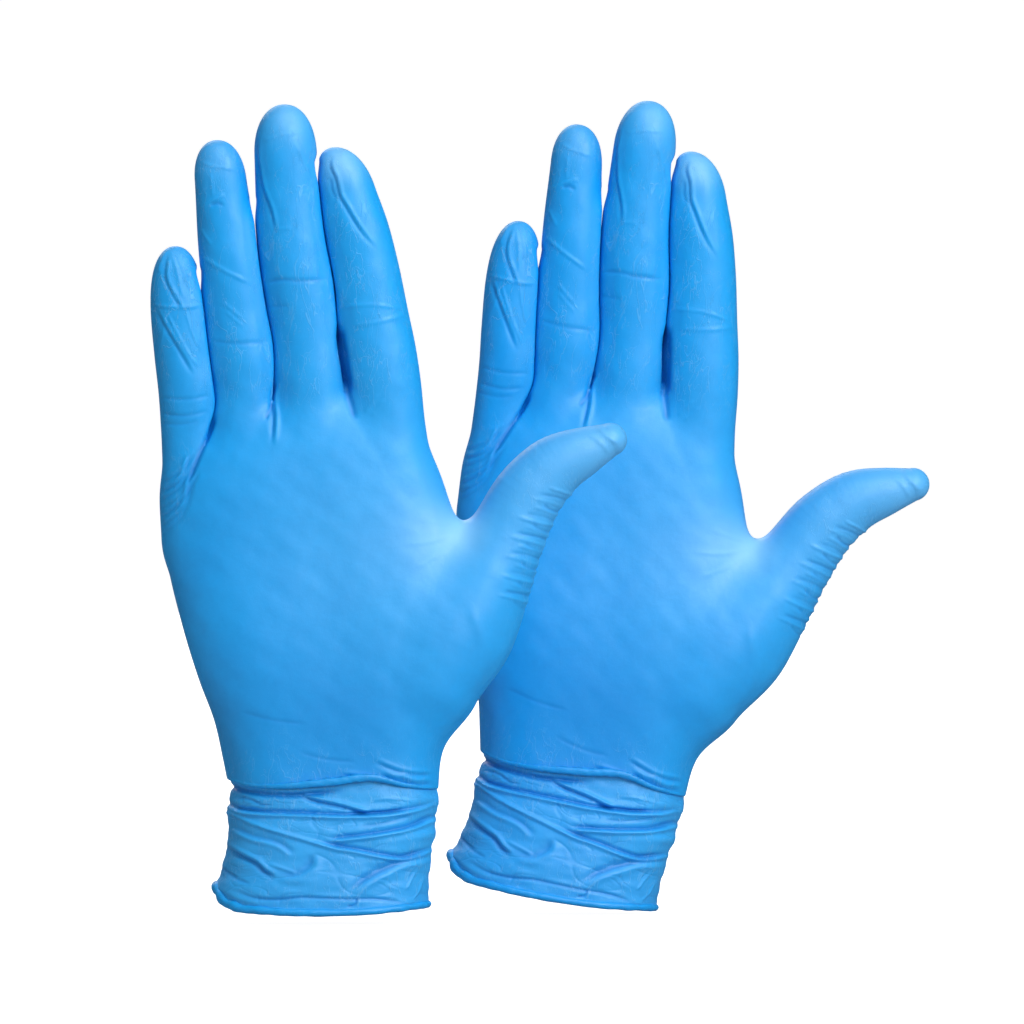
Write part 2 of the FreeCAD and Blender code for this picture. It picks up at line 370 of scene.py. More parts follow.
def used_only(points, faces, *more):
    """The points that the faces use, renumbered, with whatever else is held per point."""
    used = np.unique(faces)
    number = np.full(len(points), -1)
    number[used] = np.arange(len(used))
    return (points[used], number[faces]) + tuple(m[used] for m in more)


def film_surface():
    """The film above the wrist fold, as points and four-sided faces."""
    low = np.array(FILM_LOW)
    points, faces = surface_from_grid(distance_grid(low, np.array(FILM_HIGH)), low)
    points = settle(points, faces)
    middle = points[faces].mean(1)
    inside = rounded_distance(*palm_section(middle), PALM_POWER) < -WRIST_FOLD_TUCK
    tucked = inside & (middle[:, 2] < curve(WRIST_FOLD, middle[:, 0]) + WRIST_FOLD_RISE)
    points, faces = used_only(points, faces[~tucked])
    return close_slits(points), faces


# ---------------------------------------------------------------- wrinkles
# Each wrinkle: kind, height and width in mm, and its (x, z) points as seen from the palm
# side. A ridge stands up, a crease is sunk, and a fold is raised on the right of its
# direction and sunk on the left.
LITTLE_WRINKLES = (
    ("fold", 0.25, 0.45, ((-39.2, 170.3), (-41.1, 173.3), (-43.8, 179.4), (-42.9, 186.3))),
    ("ridge", 0.20, 0.42, ((-45.9, 180.5), (-45.6, 182), (-43.8, 186.5))),
    ("ridge", 0.22, 0.42, ((-39.2, 173.3), (-40.5, 179.4), (-42.3, 186.6))),
    ("ridge", 0.16, 0.40, ((-37.0, 174), (-38.6, 180), (-41.2, 186.2))),
    ("ridge", 0.26, 0.45, ((-48.5, 171.4), (-43.5, 171.1), (-38.6, 170.8), (-33.5, 171.5))),
    ("fold", 0.26, 0.5, ((-35.6, 151.5), (-39.8, 158.7), (-43.5, 164.8), (-47, 171.2))),
    ("ridge", 0.26, 0.45, ((-34.6, 153.5), (-37.4, 157.5), (-41.1, 164.2), (-44.7, 171.2))),
    ("ridge", 0.16, 0.42, ((-33.6, 158), (-36.2, 163), (-38.6, 170.4))),
    ("ridge", 0.14, 0.42, ((-46.5, 158), (-44.6, 164), (-44.2, 170.4))),
    ("crease", 0.16, 0.5, ((-46.5, 145.6), (-38.6, 145.1), (-31, 146.3))),
    ("crease", 0.18, 0.5, ((-46.5, 141.4), (-39.2, 140.5), (-31.5, 142))),
    ("crease", 0.14, 0.5, ((-46.5, 138.6), (-40, 138.0), (-34, 139.2))),
)
RING_WRINKLES = (
    ("ridge", 0.16, 0.45, ((-35.2, 212), (-30.7, 210.3), (-27.1, 209.8), (-22.6, 208.8))),
    ("ridge", 0.28, 0.45, ((-35.2, 197.6), (-30.7, 200.7), (-27.2, 202.8))),
    ("crease", 0.30, 0.52, ((-31.5, 199.2), (-29.6, 199.9), (-27.6, 199.4))),
    ("ridge", 0.16, 0.45, ((-31.5, 208.5), (-31.1, 205), (-30.9, 201.4))),
    ("ridge", 0.18, 0.45, ((-34.5, 193), (-31, 188))),
    ("ridge", 0.25, 0.52, ((-34.8, 185.4), (-30.7, 183), (-26.5, 180.6), (-19.5, 177.2))),
    ("ridge", 0.14, 0.45, ((-28.4, 172.6), (-22.2, 167.4))),
    ("ridge", 0.12, 0.45, ((-27.6, 170), (-22, 165.2))),
    ("crease", 0.16, 0.6, ((-32, 161.4), (-25.3, 160.8), (-14, 161.2))),
)
MIDDLE_WRINKLES = (
    ("fold", 0.28, 0.51, ((-12.9, 191), (-14.4, 198), (-16.6, 204.2), (-17.9, 211.5), (-18, 220))),
    ("ridge", 0.14, 0.52, ((-17, 217), (-11.9, 219), (-4.6, 219.8))),
    ("ridge", 0.16, 0.45, ((-7.4, 216.3), (-5.2, 211.5), (-3, 206.8))),
    ("ridge", 0.14, 0.45, ((-13.4, 192.6), (-8.5, 193.2))),
    ("crease", 0.24, 0.6, ((-17, 177.5), (-11.9, 178.5), (-7, 178.3), (2.5, 178.9))),
    ("crease", 0.12, 0.6, ((-16.5, 170.8), (-9, 171.2))),
)
INDEX_WRINKLES = (
    ("fold", 0.31, 0.51, ((16.6, 186), (11.1, 192.1), (8.7, 195.7), (6.9, 198.8), (5.1, 201.8), (3.9, 206.7),
                         (2.4, 211), (3.1, 213.4))),
    ("crease", 0.25, 0.52, ((2.0, 207.6), (2.6, 203.6), (3.8, 200.4))),
    ("ridge", 0.16, 0.45, ((4.6, 170.8), (13, 171.6), (23, 170.4))),
    ("ridge", 0.16, 0.52, ((7.5, 165.6), (16, 166.9), (24.5, 169.3))),
)
PALM_WRINKLES = (
    ("crease", 0.7, 0.7, ((-38.2, 121), (-36.1, 126), (-33.6, 131.6), (-31.5, 136.4), (-29.9, 141.5))),
    ("fold", 0.45, 0.6, ((-13.9, 131.5), (-13.4, 140.5), (-13.7, 145), (-12.8, 150))),
    ("crease", 0.4, 0.52, ((-13.9, 144.6), (-16.2, 139))),
    ("crease", 0.5, 0.9, ((6.0, 149), (7.8, 144), (9.0, 139))),
    ("ridge", 0.14, 0.45, ((11.4, 141.2), (15.8, 147))),
    ("ridge", 0.12, 0.45, ((13.4, 140.2), (17.6, 145.4))),
    ("ridge", 0.08, 0.6, ((39, 108.5), (31, 105.5), (22, 104.5))),
    ("ridge", 0.07, 0.6, ((39, 107), (32, 101.5), (25, 97.5))),
    ("ridge", 0.06, 0.6, ((38.5, 110), (32, 110.5), (25, 112))),
    ("ridge", 0.35, 1.65, ((41, 88), (44.5, 76), (42, 62))),
    ("fold", 0.35, 0.68, ((29.6, 36.2), (22.8, 38.6), (16, 41))),
    ("fold", 0.30, 0.6, ((31.5, 38), (26.5, 38.3), (20.5, 40.6))),
    ("fold", 0.25, 0.5, ((32, 40.4), (24, 41), (14, 44.6))),
    ("fold", 0.18, 0.5, ((22, 36.8), (13, 39.6), (4, 40.8))),
    ("crease", 0.12, 0.5, ((-8, 47), (2, 44.5), (10, 44))),
    ("crease", 0.12, 0.5, ((-24, 58), (-14, 55.5), (-4, 54.5))),
)
# The fan of folds below the little finger, where its base pulls on the palm
FAN_FOLDS = tuple(
    ("fold", 0.16 + 0.06 * ((k * 5) % 3), 0.5,
     ((-34.5 - 0.9 * ((k * 3) % 4), 132.5 - 1.7 * k), (-40.5 + 0.2 * k, 125 - 1.9 * k - 0.5 * (k % 2)),
      (-46, 121.5 - 2.5 * k)))
    for k in range(7)
)
# Short wrinkles across the outer edge of the thumb's base: (level, x of the edge)
THUMB_EDGE = ((86, 56.3), (94, 58.2), (100, 59.4), (106, 61.1), (112, 64), (118, 68.5))
THUMB_EDGE_FOLDS = tuple(
    (("crease", "ridge")[k % 2], 0.16 + 0.07 * ((k * 7) % 3), 0.42,
     ((float(curve(THUMB_EDGE, z)) + 3, z - 1.6 + 0.5 * (k % 3)),
      (float(curve(THUMB_EDGE, z)) - 1.5, z + 0.4 * (k % 4)),
      (float(curve(THUMB_EDGE, z)) - 4 - 1.7 * ((k * 3) % 4), z + 2 + 0.5 * (k % 2))))
    for k, z in enumerate(np.linspace(87, 118, 24))
)
THUMB_TIP_FOLDS = (
    ("ridge", 0.3, 0.7, ((76.6, 137.8), (79.8, 134.6), (83.4, 132))),
    ("ridge", 0.18, 0.6, ((73.6, 136), (78, 132.6), (80.5, 129.5))),
)
# Creases over the knuckles, on the back: (level, middle x, half width, how many)
KNUCKLES = (
    (155.5, -38.9, 5.0, 3), (169.5, -40.4, 4.2, 2), (172, -24.4, 5.6, 4), (190, -26.6, 4.8, 2),
    (178.5, -6.7, 6.0, 4), (200, -9.4, 5.2, 2), (175, 12.8, 6.0, 4), (191, 10, 5.2, 2),
)
KNUCKLE_CREASES = tuple(
    ("crease", 0.10 + 0.06 * ((k * 5) % 3), 0.6,
     ((x - half * (0.7 + 0.15 * (k % 3)), level - 1.1), (x + 0.8 * (k % 2) - 0.4, level + 0.4),
      (x + half * (1.0 - 0.15 * (k % 2)), level - 0.7)))
    for z, x, half, count in KNUCKLES
    for k, level in enumerate(z + (np.arange(count) - (count - 1) / 2) * 2.6)
)
BACK_WRINKLES = (
    ("fold", 0.35, 1.2, ((30, 60), (12, 54), (-8, 52), (-26, 56))),
    ("fold", 0.30, 1.0, ((34, 47), (14, 45), (-6, 47), (-24, 46))),
    ("ridge", 0.25, 1.6, ((40, 104), (30, 96), (22, 84))),
    ("ridge", 0.22, 1.4, ((38, 110), (28, 106), (16, 102))),
    ("ridge", 0.25, 2.2, ((-30, 76), (-34, 96), (-37, 114))),
    ("ridge", 0.25, 2.2, ((-12, 70), (-17, 96), (-21, 118))),
    ("ridge", 0.25, 2.2, ((2, 70), (0, 96), (-3, 122))),
    ("ridge", 0.25, 2.2, ((12, 72), (15, 96), (17, 120))),
)
PALM_SIDE = LITTLE_WRINKLES + RING_WRINKLES + MIDDLE_WRINKLES + INDEX_WRINKLES + PALM_WRINKLES + FAN_FOLDS
BOTH_SIDES = THUMB_EDGE_FOLDS + THUMB_TIP_FOLDS
BACK_SIDE = KNUCKLE_CREASES + BACK_WRINKLES
# The cleft that stays open above the web between the middle and index fingers, with painted shade along it
CLEFT = (("crease", 0.8, 1.3, ((7.4, 146), (6.6, 151), (5.9, 156), (5.1, 161), (4.6, 167))),)
# Soft swells: (x, z, radius, height)
PALM_SWELLS = ((28, 80, 15, 1.6), (-24, 76, 14, 1.3), (3, 96, 15, -1.2), (-24, 133, 7, 0.5),
               (-3, 137, 7, 0.5), (17, 136, 7, 0.5))
WRIST_HOLLOW = ((3, 41, 16, -3.0),)     # the wrist is slimmer than the palm and the cuff
BACK_SWELLS = ((-37, 119, 6, 0.9), (-20, 125, 7, 1.2), (-3, 129, 7, 1.4), (17, 127, 7, 1.2), (44, 98, 8, 0.8))
# Where the film looks paler: stretched thin at the thumb's web, and painted highlights on the palm, the thumb
# and the fingertips: (x, z, radius, strength)
STRETCH_AND_HIGHLIGHT_SPOTS = (
    (18, 104, 24, 0.10), (62, 122, 14, 0.14), (38.5, 109, 4.5, 0.42), (32, 106, 7, 0.18),
    (80, 134, 9, 0.22), (5.5, 213, 5, 0.40), (-9, 225, 5, 0.28), (-29.5, 215, 5, 0.14), (-41, 187, 4, 0.08),
)
# Painted shade on the lower palm and at the wrist: (x, z, radius, strength)
PAINTED_SHADE_SPOTS = ((-8, 58, 20, 0.14), (10, 44, 18, 0.14), (-30, 100, 16, 0.06))
# Unevenness: (height, size, number of waves, seed)
FILM_UNEVEN = ((0.08, 9, 9, 1), (0.03, 3, 14, 2))
CUFF_UNEVEN = ((0.15, 5, 12, 3), (0.05, 2.2, 16, 4))


def relief(wrinkles, points, weight):
    """How far wrinkles raise each point along its normal, and how much painted shade its creases and folds
    give it.
    """
    raised, painted_shade_mark = np.zeros(len(points)), np.zeros(len(points))
    x, z = points[:, 0], points[:, 2]
    for kind, height, width, way in wrinkles:
        line = smooth_line(way)
        (x0, z0), (x1, z1) = line.min(0) - 3.5 * width, line.max(0) + 3.5 * width
        near = np.flatnonzero((x > x0) & (x < x1) & (z > z0) & (z < z1) & (weight > 0))
        off, left, place = nearest_on_line(line, x[near], z[near])
        s, t = off / width, place / (len(line) - 1)
        fade = ease(0, 0.22, t) * ease(0, 0.22, 1 - t) * weight[near]
        # Folds and creases also get painted shade: on a fold's sunk side, and along a crease.
        if kind == "fold":
            raised[near] -= height * fade * left * s * np.exp(0.5 - s * s / 2)
            painted_shade_mark[near] += 0.8 * height * fade * np.where(left > 0, np.exp(-(s - 0.7) ** 2), 0)
        else:
            sign = 1 if kind == "ridge" else -1
            raised[near] += sign * height * fade * np.exp(-s * s)
            painted_shade_mark[near] += (kind == "crease") * height * fade * np.exp(-s * s)
    return raised, painted_shade_mark


def swells(spots, points, weight):
    """The sum of round bumps at (x, z, radius, height)."""
    total = np.zeros(len(points))
    for x, z, radius, height in spots:
        total += height * np.exp(-((points[:, 0] - x) ** 2 + (points[:, 2] - z) ** 2) / (2 * radius ** 2))
    return total * weight


def waves(points, size, count, seed):
    """A gentle unevenness of about unit height, with humps of about this size in mm."""
    rng = np.random.default_rng(seed)
    total = np.zeros(len(points))
    for _ in range(count):
        way = rng.normal(size=3)
        way *= 2 * math.pi / (size * rng.uniform(1.6, 3.2) * np.linalg.norm(way))
        total += np.sin(points @ way + rng.uniform(0, 2 * math.pi))
    return total / math.sqrt(count / 2)


def uneven(layers, points):
    """The sum of waves of several sizes."""
    return sum(height * waves(points, size, count, seed) for height, size, count, seed in layers)


def facing(normals, side):
    """1 where the film faces the palm side (-1) or the back (1) and 0 where it faces away."""
    return ease(0.05, 0.5, side * normals[:, 1])


def wrinkle_film(points, faces):
    """The film with its wrinkles, its normals, and its marks: painted shade in creases and low on the palm,
    and paleness where stretched, with painted highlights.
    """
    normals = point_normals(points, faces)
    palm_side, back_side = facing(normals, -1), facing(normals, 1)
    anywhere = np.ones(len(points))
    raised = ease(0, 0.6, np.abs(normals[:, 1])) * uneven(FILM_UNEVEN, points)
    painted_shade_mark = np.zeros(len(points))
    front_half = 1 - ease(-3, 2, points[:, 1])
    for wrinkles, weight in ((PALM_SIDE, palm_side), (BACK_SIDE, back_side), (BOTH_SIDES, anywhere),
                             (CLEFT, front_half)):
        up, shade_painted = relief(wrinkles, points, weight)
        raised += up
        painted_shade_mark += shade_painted
    palm_swell = swells(PALM_SWELLS, points, palm_side * ease(38, 50, points[:, 2]))
    raised += palm_swell + swells(WRIST_HOLLOW, points, palm_side) + swells(BACK_SWELLS, points, back_side)
    # Paler where stretched thin at the thumb's web, with painted highlights on the palm, the thumb and the
    # fingertips; painted shade on the lower palm and the wrist.
    stretched = swells(STRETCH_AND_HIGHLIGHT_SPOTS, points, anywhere)
    painted_shade_mark += swells(PAINTED_SHADE_SPOTS, points, palm_side)
    points = points + raised[:, None] * normals
    return points, point_normals(points, faces), marks_of(points, painted_shade_mark, stretched, slackness(points))


def slackness(points):
    """How loosely the film lies, and so how many hairline creases it has."""
    x, _, z = points.T
    fingers = ease(138, 152, z) * (0.8 + 0.5 * (1 - ease(-36, -30, x)))
    wrist = 0.5 * (1 - ease(40, 58, z))
    thumb = 0.6 * ease(48, 56, x) * (1 - 0.5 * ease(120, 130, z))
    fan = 0.6 * (1 - ease(-42, -34, x)) * ease(104, 116, z) * (1 - ease(138, 152, z))
    return fingers + wrist + thumb + fan


def marks_of(points, painted_shade_mark=None, stretched=None, slack=None):
    """The per-point marks that the material reads."""
    none = np.zeros(len(points))
    found = {"crease": painted_shade_mark, "stretch": stretched, "slack": slack}
    return {"rest": points, **{name: none if value is None else value for name, value in found.items()}}


# ---------------------------------------------------------------- cuff and bead
# Outline of the cuff: (level, edge), and (level, half depth)
CUFF_LEFT = (
    (7, -30.2), (9.5, -29.9), (11.5, -28.7), (16, -27.8), (20, -27.2), (28, -26.5), (36, -26.1), (40, -25.9),
)
CUFF_RIGHT = ((3, 29.5), (12, 29.8), (20, 30.8), (23.5, 31.7), (27, 31.2), (30, 32.1), (40, 31.6))
CUFF_DEPTH = ((2, 20.2), (20, 19.6), (40, 18.5))
CUFF_POWER = 2.35
CUFF_ABOVE_FOLD = 2.6   # how far the cuff goes on inside the palm's film
CUFF_MARK_STRETCH, CUFF_MARK_SLACK, BEAD_MARK_SLACK = 0.06, 0.8, 0.4
# Level of the bead's middle, round the palm side and round the back: (x, level)
RIM = ((-30, 8.6), (-28.3, 5.4), (-25, 3.5), (-17, 2.3), (-2, 1.7), (10, 1.9), (20, 2.7), (30, 3.8))
RIM_BACK = ((-30, 8.2), (-26, 4.6), (-12, 2.2), (8, 1.6), (22, 2.4), (30, 3.6))
CUFF_COLUMNS, CUFF_ROWS = ((720, 160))
CUFF_WRINKLES = (
    ("crease", 0.9, 0.75, ((-36, 38.6), (-29, 37.3), (-21, 35.3), (-13, 34.6), (-3, 35.1), (8, 36.4))),
    ("fold", 0.60, 0.56, ((14.5, 28.9), (10.8, 30.2), (5.3, 31.8), (-2.2, 33.4), (-8, 35.2))),
    ("crease", 0.35, 0.5, ((-27, 33.7), (-20.7, 33.2), (-18.2, 31.9), (-14, 31.9))),
    ("fold", 0.75, 0.56, ((-31, 32.6), (-26.5, 31.4), (-24.2, 30.3), (-19.7, 29.7), (-12.2, 29.5),
                          (-2.2, 29.2), (5.3, 28.9), (12.8, 29), (18, 29.2), (22.8, 29.8), (28.8, 31),
                          (34, 33.4))),
    ("crease", 0.5, 0.43, ((6, 29.5), (12.8, 29.6), (18.5, 29.8), (24, 30.6))),
    ("fold", 0.70, 0.56, ((1, 22.1), (4.3, 22.4), (12.8, 23.3), (19.3, 24.3), (24.3, 25.3), (29.3, 26.9),
                          (34, 29.4))),
    ("ridge", 0.65, 0.62, ((-30, 30.6), (-26, 29.2), (-22.2, 27.4), (-15.2, 25), (-7.2, 22.7), (-1.2, 21),
                           (6, 19.2))),
    ("fold", 0.65, 0.56, ((-4, 22.2), (2.8, 20.3), (10.3, 19), (16.8, 17.6), (22.8, 16.9), (26.8, 17.8),
                          (33, 20))),
    ("fold", 0.60, 1.04, ((6.8, 6.6), (12.8, 10.8), (17.8, 13.3), (22.8, 15.3), (31, 17.2))),
    ("fold", 0.60, 0.68, ((-12.5, 11.8), (-16.2, 13.5), (-18.7, 15.8), (-22.2, 17.5), (-28.5, 21))),
    ("fold", 0.40, 1.12, ((-13.2, 11.6), (-7.2, 12.0), (-3.2, 14.6), (-2, 18.2))),
    ("crease", 0.40, 0.5, ((-26, 8.6), (-20, 6), (-13.2, 5.4), (-6.2, 6), (0.8, 5.8), (7.8, 5.5), (14.3, 5.6),
                           (20.3, 4.8), (24, 3.4))),
    ("crease", 0.35, 0.37, ((9.6, 5.8), (9.0, 4.0), (6.5, 3.4))),
    ("ridge", 0.25, 0.43, ((26.5, 13.5), (23, 7.5))),
    ("ridge", 0.25, 0.37, ((28.6, 12), (26.2, 6.5), (25, 5))),
    ("crease", 0.30, 0.56, ((-29, 14.5), (-25, 11.5), (-20, 9.5))),
    ("ridge", 0.45, 0.96, ((-32, 9.2), (-27.6, 7.4), (-22, 5.2), (-15, 4.0))),
    ("fold", 0.35, 0.68, ((-27, 25.6), (-20, 22.6), (-13, 20.8), (-8, 17.6))),
    ("ridge", 0.30, 0.56, ((-16, 15.6), (-11, 14), (-7, 12.6))),
    ("crease", 0.25, 0.5, ((10, 25.8), (18, 26.9), (26, 28.6))),
    ("ridge", 0.20, 0.5, ((13, 33), (20, 33.6), (27, 32.6))),
)
# Fine creases all over the cuff: (size, seed), and their depth, sharpness and painted shade
CUFF_FINE = ((5, 11), (3.5, 12), (2.6, 13))
CUFF_FINE_DEPTH, CUFF_FINE_SHARP, CUFF_FINE_SHADE = 0.12, 0.12, 0.05
BEAD_RADIUS = 1.05
BEAD_SET_IN = 0.35      # the bead's middle is this far inside the cuff's face
BEAD_SIDES = 20


def section_point(angle, z):
    """A point of the cuff's outline at this angle round it (0 at the thumb side) and level."""
    left, right, depth = curve(CUFF_LEFT, z), curve(CUFF_RIGHT, z), curve(CUFF_DEPTH, z)
    half = (right - left) / 2
    c, s = np.cos(angle), np.sin(angle)
    reach = (np.abs(c / half) ** CUFF_POWER + np.abs(s / depth) ** CUFF_POWER) ** (-1 / CUFF_POWER)
    return np.stack([(left + right) / 2 + reach * c, reach * s, z], -1)


def rim_level(angle):
    """The level of the bead at this angle round the cuff."""
    x = section_point(angle, np.full(len(angle), 8.0))[:, 0]
    to_palm = ease(-0.5, 0.5, -np.sin(angle))
    return to_palm * curve(RIM, x) + (1 - to_palm) * curve(RIM_BACK, x)


def grid_faces(rows, columns, closed_rows=False):
    """Four-sided faces over a grid of points whose columns close round."""
    r, c = np.meshgrid(np.arange(rows if closed_rows else rows - 1), np.arange(columns), indexing="ij")
    up, on = (r + 1) % rows, (c + 1) % columns
    ring = [r * columns + c, r * columns + on, up * columns + on, up * columns + c]
    return np.stack(ring, -1).reshape(-1, 4)


def cuff_relief(points, palm_side):
    """How far the cuff's folds raise it, how much painted shade its creases get, and its share of the wrist's
    hollow.

    Round the back the folds wander, so that the two sides differ.
    """
    back = ease(-2, 12, points[:, 1])
    shifted = points.copy()
    inward = np.clip(1 - (points[:, 0] / 31) ** 2, 0, 1)
    shifted[:, 2] += back * inward * (1.6 * np.sin(points[:, 0] / 7) + 1.2)
    raised, painted_shade_mark = relief(CUFF_WRINKLES, shifted, np.ones(len(points)))
    hollow = swells(WRIST_HOLLOW, points, palm_side)
    stretched = points * (0.55, 0.55, 1.6)
    raised += uneven(CUFF_UNEVEN, stretched)
    for size, seed in CUFF_FINE:
        line = np.exp(-(waves(stretched, size, 9, seed) / CUFF_FINE_SHARP) ** 2)
        line *= ease(-0.3, 0.8, waves(points, 9, 7, seed + 9))
        raised -= CUFF_FINE_DEPTH * line
        # painted shade along each fine crease
        painted_shade_mark += CUFF_FINE_SHADE * line
    return raised, painted_shade_mark, hollow


def cuff_surface():
    """The cuff from the bead to just inside the palm's film."""
    angle = np.linspace(0, 2 * math.pi, CUFF_COLUMNS, endpoint=False)
    low = rim_level(angle)
    x = section_point(angle, np.full(len(angle), 36.0))[:, 0]
    high = curve(WRIST_FOLD, x) + CUFF_ABOVE_FOLD
    share = np.linspace(0, 1, CUFF_ROWS)[:, None]
    level = low + (high - low) * share
    points = section_point(np.broadcast_to(angle, level.shape).ravel(), level.ravel())
    faces = grid_faces(CUFF_ROWS, CUFF_COLUMNS)
    normals = point_normals(points, faces)
    raised, painted_shade_mark, hollow = cuff_relief(points, facing(normals, -1))
    low_hold = np.repeat(ease(0, 0.04, share), CUFF_COLUMNS)
    high_hold = np.repeat(1 - 0.8 * ease(0.93, 1, share), CUFF_COLUMNS)
    points = points + (raised * (low_hold * high_hold) + hollow * low_hold)[:, None] * normals
    pale, slack = np.full(len(points), CUFF_MARK_STRETCH), np.full(len(points), CUFF_MARK_SLACK)
    return points, faces, point_normals(points, faces), marks_of(points, painted_shade_mark, pale, slack)


def bead_surface():
    """The rolled rim: a lumpy tube along the cuff's lower edge."""
    angle = np.linspace(0, 2 * math.pi, CUFF_COLUMNS, endpoint=False)
    middle = section_point(angle, rim_level(angle))
    ahead = np.roll(middle, -1, 0) - np.roll(middle, 1, 0)
    ahead /= np.linalg.norm(ahead, axis=1)[:, None]
    before, after = (section_point(np.roll(angle, k), middle[:, 2]) for k in (1, -1))
    out = np.cross(after - before, (0, 0, 1))
    out /= np.linalg.norm(out, axis=1)[:, None]
    up = np.cross(out, ahead)
    up /= np.linalg.norm(up, axis=1)[:, None]
    puckered = ease(12, 28, -middle[:, 0])
    radius = BEAD_RADIUS * (1 + 0.4 * puckered) + 0.10 * waves(middle, 2.5, 8, 5) * (0.5 + puckered)
    turn = np.linspace(0, 2 * math.pi, BEAD_SIDES, endpoint=False)[:, None, None]
    points = middle + radius[:, None] * (np.cos(turn) * out + np.sin(turn) * up) - BEAD_SET_IN * out
    points = points.reshape(-1, 3)
    points = points + 0.05 * waves(points, 0.9, 10, 6)[:, None] * np.tile(out, (BEAD_SIDES, 1))
    faces = grid_faces(BEAD_SIDES, CUFF_COLUMNS, closed_rows=True)
    slack = np.full(len(points), BEAD_MARK_SLACK)
    return points, faces, point_normals(points, faces), marks_of(points, slack=slack)


# ---------------------------------------------------------------- pieces
REAR_MOUNT = next(m for m in frame["record"]["mounts"] if m["name"] == "rear_wrist_opening")
DOWN = REAR_MOUNT["axis"]
REAR_TURN = math.atan2(-DOWN[0], -DOWN[2])
PLACES = {
    "front": Matrix.Identity(4),
    "rear": Matrix.Translation(REAR_MOUNT["pos_m"]) @ Matrix.Rotation(REAR_TURN, 4, "Y"),
}
JOINTS = {j["name"]: j for j in frame["joints"]}
# Half lengths of the film that bends at a finger's root, middle and tip joint, mm
BEND_HALF = {"root": 7, "middle": 8, "tip": 5.5}
THUMB_WAY = Vector((0.854, 0, 0.52))    # square to the line where the thumb leaves the palm
THUMB_BENDS = {"root": (91.5, 105.5), "tip": (107, 125)}    # mm along THUMB_WAY
SEAM = 0.7                              # a piece starts this far before its bend, mm
THUMB_RIGHT_OF, THUMB_BELOW = 37.5, 145     # only the thumb is here, mm


def bend_span(digit, joint):
    """Where the film starts and ends to bend at a front joint, in mm."""
    if digit == "thumb":
        near, far = THUMB_BENDS[joint]
        return THUMB_WAY * near, THUMB_WAY * far
    data = JOINTS[f"front_{digit}_{joint}"]
    way = Vector(data["axis"]).cross(Vector((0, 1, 0))).normalized()
    middle = Vector(data["pos_m"]) / MM
    return middle - way * BEND_HALF[joint], middle + way * BEND_HALF[joint]


def past(points, start, end):
    """How far each point is past the plane through start that faces end."""
    way = np.array((end - start).normalized())
    return (points - np.array(start)) @ way


def finger_at(points):
    """Which finger a point above the webs belongs to: 0 little, 1 ring, 2 middle, 3 index."""
    number = np.zeros(len(points), int)
    for slit in SLITS:
        left, right, _, top, _ = slit
        nearer_right = finger_distance(left, points) > finger_distance(right, points)
        number += np.where(points[:, 2] < top, right_of_slit(slit, points) > 0, nearer_right)
    return number


def divide(points, faces):
    """The film's faces by piece: the palm, and for each digit one part for each of its joints."""
    middle = points[faces].mean(1)
    parts = {}
    free = np.ones(len(faces), bool)
    on_thumb = (middle[:, 0] > THUMB_RIGHT_OF) & (middle[:, 2] < THUMB_BELOW)
    finger = finger_at(middle)
    digits = {name: (finger == i) & ~on_thumb for i, name in enumerate(FINGERS)}
    digits["thumb"] = on_thumb
    for digit, own in digits.items():
        for joint in ("tip", "middle", "root"):
            if digit == "thumb" and joint == "middle":
                continue
            start, end = bend_span(digit, joint)
            part = own & free & (past(middle, start, end) > -SEAM)
            parts[digit, joint] = faces[part]
            free &= ~part
    parts["palm", ""] = faces[free]
    return parts


def add_piece(name, points, faces, normals, marks, material, place):
    """A mesh object from millimetre points, with its normals and per-point marks for the material."""
    mesh = bpy.data.meshes.new(name)
    mesh.from_pydata((points * MM).tolist(), [], faces.tolist())
    for mark, values in marks.items():
        kind, field = ("FLOAT_VECTOR", "vector") if values.ndim == 2 else ("FLOAT", "value")
        attribute = mesh.attributes.new(mark, kind, "POINT")
        attribute.data.foreach_set(field, values.astype(np.float32).ravel())
    mesh.polygons.foreach_set("use_smooth", np.ones(len(faces), bool))
    mesh.normals_split_custom_set_from_vertices(normals)
    mesh.transform(place)
    mesh.materials.append(material)
    piece = bpy.data.objects.new(name, mesh)
    bpy.context.scene.collection.objects.link(piece)
    return piece


# ---------------------------------------------------------------- material
# The deep blue also serves as painted shade in creases and low on the palm, and the pale blue as painted
# highlight on tips and hairlines.
FILM_BLUE = (0.0, 0.37, 0.88)
FILM_DEEP_AND_SHADE = (0.0, 0.20, 0.62)
FILM_PALE_AND_HIGHLIGHT = (0.42, 0.76, 0.98)
FILM_ROUGHNESS = (0.42, 0.52)
FILM_SPECULAR = 0.6
HAIR_STRETCH = (1.5, 1.5, 0.5)  # the hairline creases run along the fingers
# How much paler the hairlines are: a painted highlight along them
HAIR_HIGHLIGHT = 0.16
BUMP_HEIGHTS = {"grain": 0.35, "mottle": 0.8, "hair": 1.2}
BUMP_STRENGTH, BUMP_DISTANCE = 0.6, 0.0001
NOISE_MIDDLE = (0.3, 0.7)       # the range that holds nearly all of a noise's values


